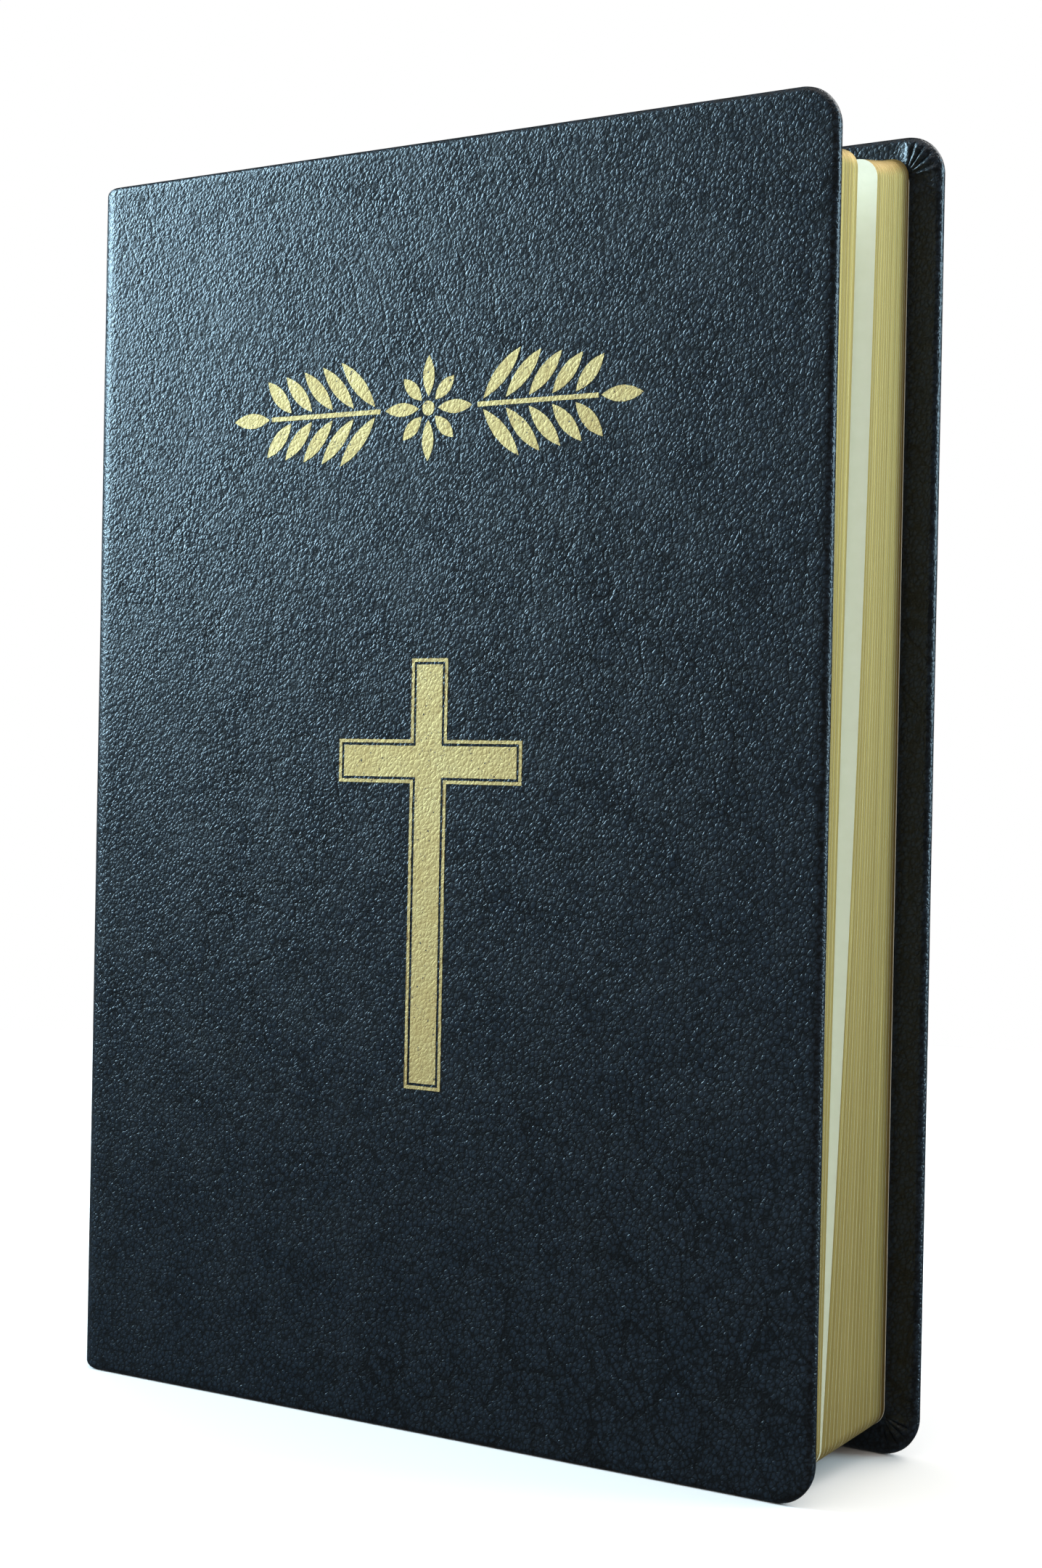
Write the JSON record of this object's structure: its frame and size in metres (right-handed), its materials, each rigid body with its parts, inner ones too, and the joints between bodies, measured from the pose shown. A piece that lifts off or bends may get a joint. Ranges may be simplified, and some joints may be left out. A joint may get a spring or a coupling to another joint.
{
  "type": "bible",
  "caption": "Flexible leather-bound bible with a cross on its cover and gilt-edged pages, standing closed; both covers open and the leaves fan out after them.",
  "frame": {"origin": "bottom centre of the closed book's box, on the plane that its tail edges stand on", "axes": "+Z towards the head edge, -Y out of the front cover, -X out of the spine, +X out of the fore-edge"},
  "size_m": [0.1466, 0.0364, 0.21],
  "materials": {
    "leather": "near-black grained leather, semi-gloss",
    "card": "grey-brown flexible board",
    "endpaper": "uncoated off-white endpaper",
    "gilt_pages": "thin paper with gilt edges",
    "kraft_paper": "brown kraft paper",
    "gauze": "open cotton gauze, glued",
    "thread": "waxed linen thread",
    "headband": "wound silk in two tones",
    "gold_foil": "hot-stamped pale gold foil"
  },
  "bodies": {
    "spine": {"spine_leather": "leather", "spine_inlay": "card", "spine_lining": "kraft_paper", "mull": "gauze", "sewing_thread": "thread", "head_band": "headband", "tail_band": "headband", "section_12": "gilt_pages", "section_13": "gilt_pages", "section_14": "gilt_pages", "section_15": "gilt_pages", "section_16": "gilt_pages", "section_17": "gilt_pages", "section_18": "gilt_pages", "section_19": "gilt_pages", "section_20": "gilt_pages"},
    "front_cover": {"front_leather": "leather", "front_board": "card", "front_pastedown": "endpaper", "foil_cross_outline": "gold_foil", "foil_cross": "gold_foil", "foil_ornament": "gold_foil"},
    "back_cover": {"back_leather": "leather", "back_board": "card", "back_pastedown": "endpaper"},
    "front_flyleaf": {"front_flyleaf": "endpaper"},
    "back_flyleaf": {"back_flyleaf": "endpaper"},
    "section_01": {"section_01": "gilt_pages"},
    "section_02": {"section_02": "gilt_pages"},
    "section_03": {"section_03": "gilt_pages"},
    "section_04": {"section_04": "gilt_pages"},
    "section_05": {"section_05": "gilt_pages"},
    "section_06": {"section_06": "gilt_pages"},
    "section_07": {"section_07": "gilt_pages"},
    "section_08": {"section_08": "gilt_pages"},
    "section_09": {"section_09": "gilt_pages"},
    "section_10": {"section_10": "gilt_pages"},
    "section_11": {"section_11": "gilt_pages"},
    "section_28": {"section_28": "gilt_pages"},
    "section_27": {"section_27": "gilt_pages"},
    "section_26": {"section_26": "gilt_pages"},
    "section_25": {"section_25": "gilt_pages"},
    "section_24": {"section_24": "gilt_pages"},
    "section_23": {"section_23": "gilt_pages"},
    "section_22": {"section_22": "gilt_pages"},
    "section_21": {"section_21": "gilt_pages"}
  },
  "joints": [
    {"name": "front_cover_hinge", "type": "hinge", "parent": "spine", "child": "front_cover", "pos_m": [-0.07325, -0.01425, 0], "axis": [0, 0, -1], "range_deg": [0, 178]},
    {"name": "back_cover_hinge", "type": "hinge", "parent": "spine", "child": "back_cover", "pos_m": [-0.07325, 0.01425, 0], "axis": [0, 0, 1], "range_deg": [0, 178]},
    {"name": "front_flyleaf_turn", "type": "hinge", "parent": "spine", "child": "front_flyleaf", "pos_m": [-0.07095, -0.01588, 0], "axis": [0, 0, -1], "range_deg": [0, 75.26]},
    {"name": "back_flyleaf_turn", "type": "hinge", "parent": "spine", "child": "back_flyleaf", "pos_m": [-0.07095, 0.01588, 0], "axis": [0, 0, 1], "range_deg": [0, 75.26]},
    {"name": "section_01_turn", "type": "hinge", "parent": "spine", "child": "section_01", "pos_m": [-0.07078, -0.01519, 0], "axis": [0, 0, -1], "range_deg": [0, 64.58]},
    {"name": "section_02_turn", "type": "hinge", "parent": "spine", "child": "section_02", "pos_m": [-0.07078, -0.01406, 0], "axis": [0, 0, -1], "range_deg": [0, 59.06]},
    {"name": "section_03_turn", "type": "hinge", "parent": "spine", "child": "section_03", "pos_m": [-0.07078, -0.01294, 0], "axis": [0, 0, -1], "range_deg": [0, 53.54]},
    {"name": "section_04_turn", "type": "hinge", "parent": "spine", "child": "section_04", "pos_m": [-0.07078, -0.01181, 0], "axis": [0, 0, -1], "range_deg": [0, 48.03]},
    {"name": "section_05_turn", "type": "hinge", "parent": "spine", "child": "section_05", "pos_m": [-0.07078, -0.01069, 0], "axis": [0, 0, -1], "range_deg": [0, 42.51]},
    {"name": "section_06_turn", "type": "hinge", "parent": "spine", "child": "section_06", "pos_m": [-0.07078, -0.00956, 0], "axis": [0, 0, -1], "range_deg": [0, 36.99]},
    {"name": "section_07_turn", "type": "hinge", "parent": "spine", "child": "section_07", "pos_m": [-0.07078, -0.00844, 0], "axis": [0, 0, -1], "range_deg": [0, 31.47]},
    {"name": "section_08_turn", "type": "hinge", "parent": "spine", "child": "section_08", "pos_m": [-0.07078, -0.00731, 0], "axis": [0, 0, -1], "range_deg": [0, 25.95]},
    {"name": "section_09_turn", "type": "hinge", "parent": "spine", "child": "section_09", "pos_m": [-0.07078, -0.00619, 0], "axis": [0, 0, -1], "range_deg": [0, 20.44]},
    {"name": "section_10_turn", "type": "hinge", "parent": "spine", "child": "section_10", "pos_m": [-0.07078, -0.00506, 0], "axis": [0, 0, -1], "range_deg": [0, 14.92]},
    {"name": "section_11_turn", "type": "hinge", "parent": "spine", "child": "section_11", "pos_m": [-0.07078, -0.00394, 0], "axis": [0, 0, -1], "range_deg": [0, 9.4]},
    {"name": "section_28_turn", "type": "hinge", "parent": "spine", "child": "section_28", "pos_m": [-0.07078, 0.01519, 0], "axis": [0, 0, 1], "range_deg": [0, 64.58]},
    {"name": "section_27_turn", "type": "hinge", "parent": "spine", "child": "section_27", "pos_m": [-0.07078, 0.01406, 0], "axis": [0, 0, 1], "range_deg": [0, 57.1]},
    {"name": "section_26_turn", "type": "hinge", "parent": "spine", "child": "section_26", "pos_m": [-0.07078, 0.01294, 0], "axis": [0, 0, 1], "range_deg": [0, 49.63]},
    {"name": "section_25_turn", "type": "hinge", "parent": "spine", "child": "section_25", "pos_m": [-0.07078, 0.01181, 0], "axis": [0, 0, 1], "range_deg": [0, 42.15]},
    {"name": "section_24_turn", "type": "hinge", "parent": "spine", "child": "section_24", "pos_m": [-0.07078, 0.01069, 0], "axis": [0, 0, 1], "range_deg": [0, 34.68]},
    {"name": "section_23_turn", "type": "hinge", "parent": "spine", "child": "section_23", "pos_m": [-0.07078, 0.00956, 0], "axis": [0, 0, 1], "range_deg": [0, 27.2]},
    {"name": "section_22_turn", "type": "hinge", "parent": "spine", "child": "section_22", "pos_m": [-0.07078, 0.00844, 0], "axis": [0, 0, 1], "range_deg": [0, 19.72]},
    {"name": "section_21_turn", "type": "hinge", "parent": "spine", "child": "section_21", "pos_m": [-0.07078, 0.00731, 0], "axis": [0, 0, 1], "range_deg": [0, 12.25]}
  ],
  "couplings": [
    {"joint": "front_flyleaf_turn", "follows": "front_cover_hinge", "ratio": 0.42},
    {"joint": "back_flyleaf_turn", "follows": "back_cover_hinge", "ratio": 0.42},
    {"joint": "section_01_turn", "follows": "front_cover_hinge", "ratio": 0.36},
    {"joint": "section_02_turn", "follows": "front_cover_hinge", "ratio": 0.329},
    {"joint": "section_03_turn", "follows": "front_cover_hinge", "ratio": 0.298},
    {"joint": "section_04_turn", "follows": "front_cover_hinge", "ratio": 0.267},
    {"joint": "section_05_turn", "follows": "front_cover_hinge", "ratio": 0.236},
    {"joint": "section_06_turn", "follows": "front_cover_hinge", "ratio": 0.205},
    {"joint": "section_07_turn", "follows": "front_cover_hinge", "ratio": 0.174},
    {"joint": "section_08_turn", "follows": "front_cover_hinge", "ratio": 0.143},
    {"joint": "section_09_turn", "follows": "front_cover_hinge", "ratio": 0.112},
    {"joint": "section_10_turn", "follows": "front_cover_hinge", "ratio": 0.081},
    {"joint": "section_11_turn", "follows": "front_cover_hinge", "ratio": 0.05},
    {"joint": "section_28_turn", "follows": "back_cover_hinge", "ratio": 0.36},
    {"joint": "section_27_turn", "follows": "back_cover_hinge", "ratio": 0.318},
    {"joint": "section_26_turn", "follows": "back_cover_hinge", "ratio": 0.276},
    {"joint": "section_25_turn", "follows": "back_cover_hinge", "ratio": 0.234},
    {"joint": "section_24_turn", "follows": "back_cover_hinge", "ratio": 0.192},
    {"joint": "section_23_turn", "follows": "back_cover_hinge", "ratio": 0.15},
    {"joint": "section_22_turn", "follows": "back_cover_hinge", "ratio": 0.108},
    {"joint": "section_21_turn", "follows": "back_cover_hinge", "ratio": 0.066}
  ]
}
